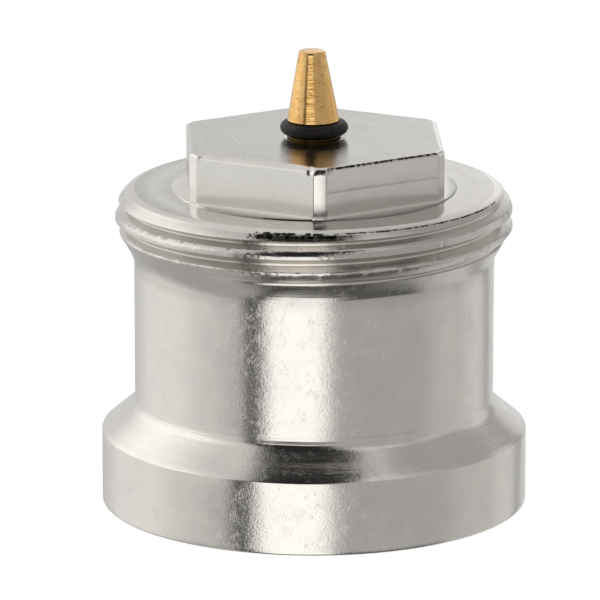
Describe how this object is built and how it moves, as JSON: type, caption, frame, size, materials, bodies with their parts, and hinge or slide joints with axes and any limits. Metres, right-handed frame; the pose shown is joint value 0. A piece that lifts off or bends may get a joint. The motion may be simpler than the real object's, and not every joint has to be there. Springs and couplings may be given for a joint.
{
  "type": "valve adapter",
  "caption": "Nickel-plated threaded valve adapter with a flange, a neck, a hexagon, and a sliding brass push pin held by an O-ring.",
  "frame": {"origin": "centre of the bottom rim, on the turning axis", "axes": "+Z along the turning axis from the valve's thread to the pin's tip; the hexagon's corners lie on +Y and -Y"},
  "size_m": [0.032, 0.032, 0.0344],
  "materials": {
    "nickel_plate": "satin",
    "brass": "satin",
    "rubber": "matte"
  },
  "bodies": {
    "body": {"adapter_body": "nickel_plate"},
    "pin": {"push_pin": "brass", "o_ring": "rubber"}
  },
  "joints": [
    {"name": "pin_slide", "type": "slide", "parent": "body", "child": "pin", "axis": [0, 0, 1], "range_m": [-0.0002, 0.0045]}
  ]
}
